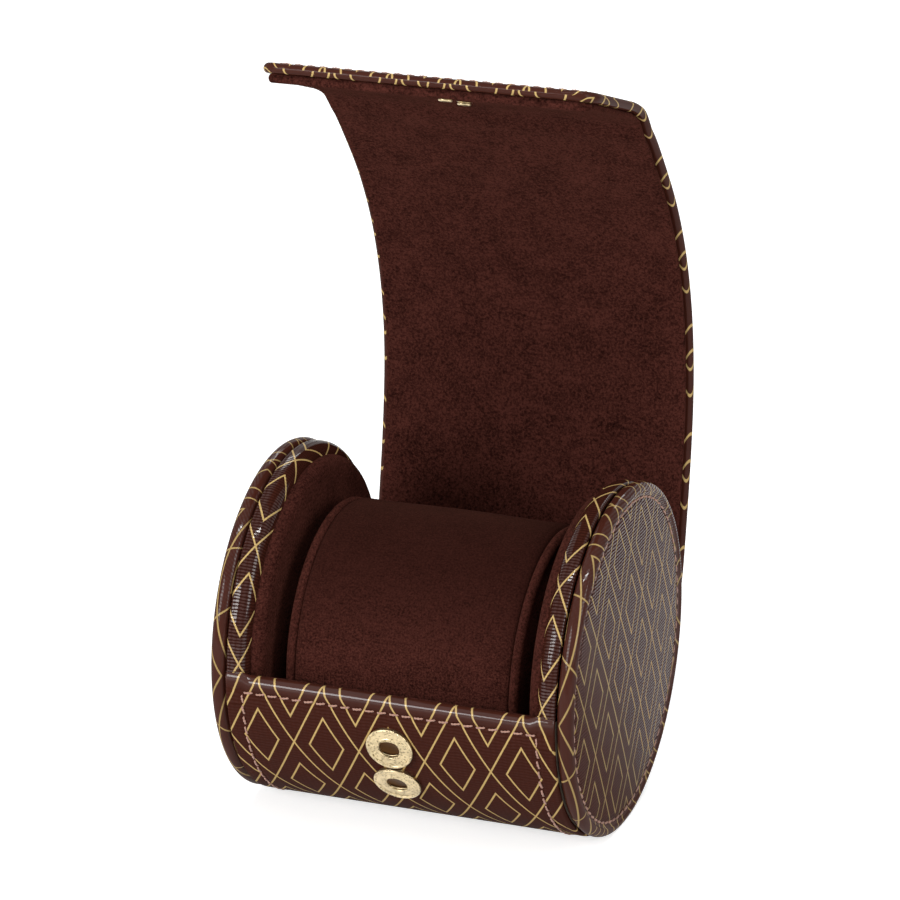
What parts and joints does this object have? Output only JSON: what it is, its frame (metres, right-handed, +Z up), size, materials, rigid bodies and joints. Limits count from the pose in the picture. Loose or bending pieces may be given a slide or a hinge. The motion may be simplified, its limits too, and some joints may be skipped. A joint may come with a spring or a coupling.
{
  "type": "watch travel case",
  "caption": "Roll-shaped leather travel case for a wristwatch, with round padded ends, a suede-lined wrap-around lid, snaps and a lift-out watch pillow.",
  "frame": {"origin": "on the flat that the case rests on, straight below the barrel's axis, midway between the two end caps", "axes": "+X along the barrel, towards the right end cap; -Y towards the front with the snaps; +Z up"},
  "size_m": [0.0846, 0.1002, 0.171],
  "materials": {
    "leather": "glossy fine cross-grained leather",
    "suede": "matt brushed suede",
    "board": "plain stiff board",
    "foam": "soft filling",
    "snap_metal": "polished pale gold"
  },
  "bodies": {
    "case": {"wrap": "leather", "tub_board": "board", "tub_lining": "suede", "cap_leather_left": "leather", "cap_leather_right": "leather", "cap_board_left": "board", "cap_board_right": "board", "wall_board_left": "board", "wall_board_right": "board", "wall_band_left": "leather", "wall_band_right": "leather", "wall_pad_left": "suede", "wall_pad_right": "suede", "snap_sockets": "snap_metal", "socket_rivets": "snap_metal"},
    "lid_1": {"lid_leather_1": "leather", "lid_board_1": "board", "lid_suede_1": "suede"},
    "lid_2": {"lid_leather_2": "leather", "lid_board_2": "board", "lid_suede_2": "suede"},
    "lid_3": {"lid_leather_3": "leather", "lid_board_3": "board", "lid_suede_3": "suede"},
    "lid_4": {"lid_leather_4": "leather", "lid_board_4": "board", "lid_suede_4": "suede"},
    "lid_5": {"lid_leather_5": "leather", "lid_board_5": "board", "lid_suede_5": "suede"},
    "lid_6": {"lid_leather_6": "leather", "lid_board_6": "board", "lid_suede_6": "suede"},
    "lid_7": {"lid_leather_7": "leather", "lid_board_7": "board", "lid_suede_7": "suede"},
    "lid_8": {"lid_leather_8": "leather", "lid_board_8": "board", "lid_suede_8": "suede"},
    "lid_9": {"lid_leather_9": "leather", "lid_board_9": "board", "lid_suede_9": "suede"},
    "tip_1": {"lid_leather_10": "leather", "lid_board_10": "board", "lid_suede_10": "suede"},
    "tip_2": {"lid_leather_11": "leather", "lid_board_11": "board", "lid_suede_11": "suede", "stud_upper": "snap_metal", "stud_rivet_upper": "snap_metal"},
    "tip_3": {"lid_leather_12": "leather", "lid_board_12": "board", "lid_suede_12": "suede", "stud_lower": "snap_metal", "stud_rivet_lower": "snap_metal"},
    "pillow": {"pillow_sleeve": "suede", "pillow_core": "foam", "pillow_end_left": "suede", "pillow_end_right": "suede"}
  },
  "joints": [
    {"name": "lid_1_bend", "type": "hinge", "parent": "case", "child": "lid_1", "pos_m": [0, 0.03918, 0.02146], "axis": [1, 0, 0], "range_deg": [-5.87, 29.33]},
    {"name": "lid_2_bend", "type": "hinge", "parent": "lid_1", "child": "lid_2", "pos_m": [0, 0.05046, 0.03398], "axis": [1, 0, 0], "range_deg": [-8.33, 1.67]},
    {"name": "lid_3_bend", "type": "hinge", "parent": "lid_2", "child": "lid_3", "pos_m": [0, 0.05367, 0.05053], "axis": [1, 0, 0], "range_deg": [-4.13, 20.67]},
    {"name": "lid_4_bend", "type": "hinge", "parent": "lid_3", "child": "lid_4", "pos_m": [0, 0.05631, 0.06718], "axis": [1, 0, 0], "range_deg": [-3.53, 17.67]},
    {"name": "lid_5_bend", "type": "hinge", "parent": "lid_4", "child": "lid_5", "pos_m": [0, 0.05749, 0.08399], "axis": [1, 0, 0], "range_deg": [-2.33, 11.67]},
    {"name": "lid_6_bend", "type": "hinge", "parent": "lid_5", "child": "lid_6", "pos_m": [0, 0.05543, 0.10072], "axis": [1, 0, 0], "range_deg": [-2.33, 11.67]},
    {"name": "lid_7_bend", "type": "hinge", "parent": "lid_6", "child": "lid_7", "pos_m": [0, 0.05022, 0.11675], "axis": [1, 0, 0], "range_deg": [-2.33, 11.67]},
    {"name": "lid_8_bend", "type": "hinge", "parent": "lid_7", "child": "lid_8", "pos_m": [0, 0.04205, 0.1315], "axis": [1, 0, 0], "range_deg": [-2.53, 12.67]},
    {"name": "lid_9_bend", "type": "hinge", "parent": "lid_8", "child": "lid_9", "pos_m": [0, 0.03144, 0.14459], "axis": [1, 0, 0], "range_deg": [-4.13, 20.67]},
    {"name": "tip_1_bend", "type": "hinge", "parent": "lid_9", "child": "tip_1", "pos_m": [0, 0.02039, 0.15732], "axis": [1, 0, 0], "range_deg": [-22.78, 4.56]},
    {"name": "snap_press", "type": "hinge", "parent": "tip_1", "child": "tip_2", "pos_m": [0, 0.01391, 0.15954], "axis": [1, 0, 0], "range_deg": [0, 20.92]},
    {"name": "snap_press_end", "type": "hinge", "parent": "tip_2", "child": "tip_3", "pos_m": [0, 0.00238, 0.16351], "axis": [1, 0, 0], "range_deg": [0, 16.2]},
    {"name": "pillow_lift", "type": "slide", "parent": "case", "child": "pillow", "axis": [0, 0, 1], "range_m": [0, 0.08]}
  ],
  "couplings": [
    {"joint": "lid_2_bend", "follows": "lid_1_bend", "ratio": -0.28409},
    {"joint": "lid_3_bend", "follows": "lid_1_bend", "ratio": 0.70454},
    {"joint": "lid_4_bend", "follows": "lid_1_bend", "ratio": 0.60227},
    {"joint": "lid_5_bend", "follows": "lid_1_bend", "ratio": 0.39773},
    {"joint": "lid_6_bend", "follows": "lid_1_bend", "ratio": 0.39773},
    {"joint": "lid_7_bend", "follows": "lid_1_bend", "ratio": 0.39773},
    {"joint": "lid_8_bend", "follows": "lid_1_bend", "ratio": 0.43182},
    {"joint": "lid_9_bend", "follows": "lid_1_bend", "ratio": 0.70454},
    {"joint": "tip_1_bend", "follows": "lid_1_bend", "ratio": -0.77665},
    {"joint": "snap_press_end", "follows": "snap_press", "ratio": 0.77456}
  ]
}
